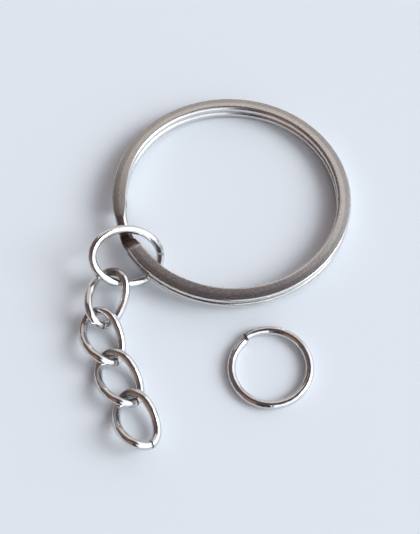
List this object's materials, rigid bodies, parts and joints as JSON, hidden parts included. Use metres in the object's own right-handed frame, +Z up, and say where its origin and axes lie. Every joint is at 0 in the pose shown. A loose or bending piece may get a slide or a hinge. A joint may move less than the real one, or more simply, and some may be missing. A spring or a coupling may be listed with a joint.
{
  "type": "split key ring with chain",
  "caption": "Split key ring of flat coiled wire with an oval connector ring, a short twisted curb chain and a spare jump ring.",
  "frame": {"origin": "under the middle of the set's bounding box, on the table it lies on", "axes": "+Z up, away from the table; +Y from the chain's last link towards the split ring; +X to the spare jump ring's side"},
  "size_m": [0.0336, 0.0472, 0.0054],
  "materials": {
    "split_ring_metal": "nickel-plated steel, ground flat, satin with fine grain along the wire",
    "connector_metal": "bright nickel plate on round wire",
    "chain_metal": "bright nickel plate on round wire",
    "jump_ring_metal": "bright nickel plate on round wire"
  },
  "bodies": {
    "split_ring": {"split_ring_coil": "split_ring_metal"},
    "free_end": {"split_ring_free_end": "split_ring_metal"},
    "connector": {"connector_ring": "connector_metal"},
    "link_1": {"chain_link_1": "chain_metal"},
    "link_2": {"chain_link_2": "chain_metal"},
    "link_3": {"chain_link_3": "chain_metal"},
    "link_4": {"chain_link_4": "chain_metal"},
    "spare_ring": {"spare_jump_ring": "jump_ring_metal"}
  },
  "joints": [
    {"name": "free_end_lift", "type": "hinge", "parent": "split_ring", "child": "free_end", "pos_m": [0.00233, -0.00544, 0.00294], "axis": [-0.0353, 0.9991, -0.0247], "range_deg": [0, 8], "stiffness_Nm_per_rad": 0.004},
    {"name": "connector_travel", "type": "hinge", "parent": "split_ring", "child": "connector", "pos_m": [0.00178, 0.00862, 0.00059], "axis": [0.0285, 0.0257, 0.9993], "range_deg": [-265, 0]},
    {"name": "link_1_swing", "type": "hinge", "parent": "connector", "child": "link_1", "pos_m": [-0.013, -0.00295, 0.0015], "axis": [0, 0, 1], "range_deg": [-20, 15]},
    {"name": "link_2_swing", "type": "hinge", "parent": "link_1", "child": "link_2", "pos_m": [-0.01373, -0.00736, 0.0015], "axis": [0, 0, 1], "range_deg": [-25, 20]},
    {"name": "link_3_swing", "type": "hinge", "parent": "link_2", "child": "link_3", "pos_m": [-0.01268, -0.01243, 0.0015], "axis": [0, 0, 1], "range_deg": [-20, 25]},
    {"name": "link_4_swing", "type": "hinge", "parent": "link_3", "child": "link_4", "pos_m": [-0.01037, -0.01742, 0.0015], "axis": [0, 0, 1], "range_deg": [-25, 25]},
    {"name": "spare_ring_slide", "type": "slide", "parent": "split_ring", "child": "spare_ring", "axis": [0, -1, 0], "range_m": [0, 0.012]}
  ]
}
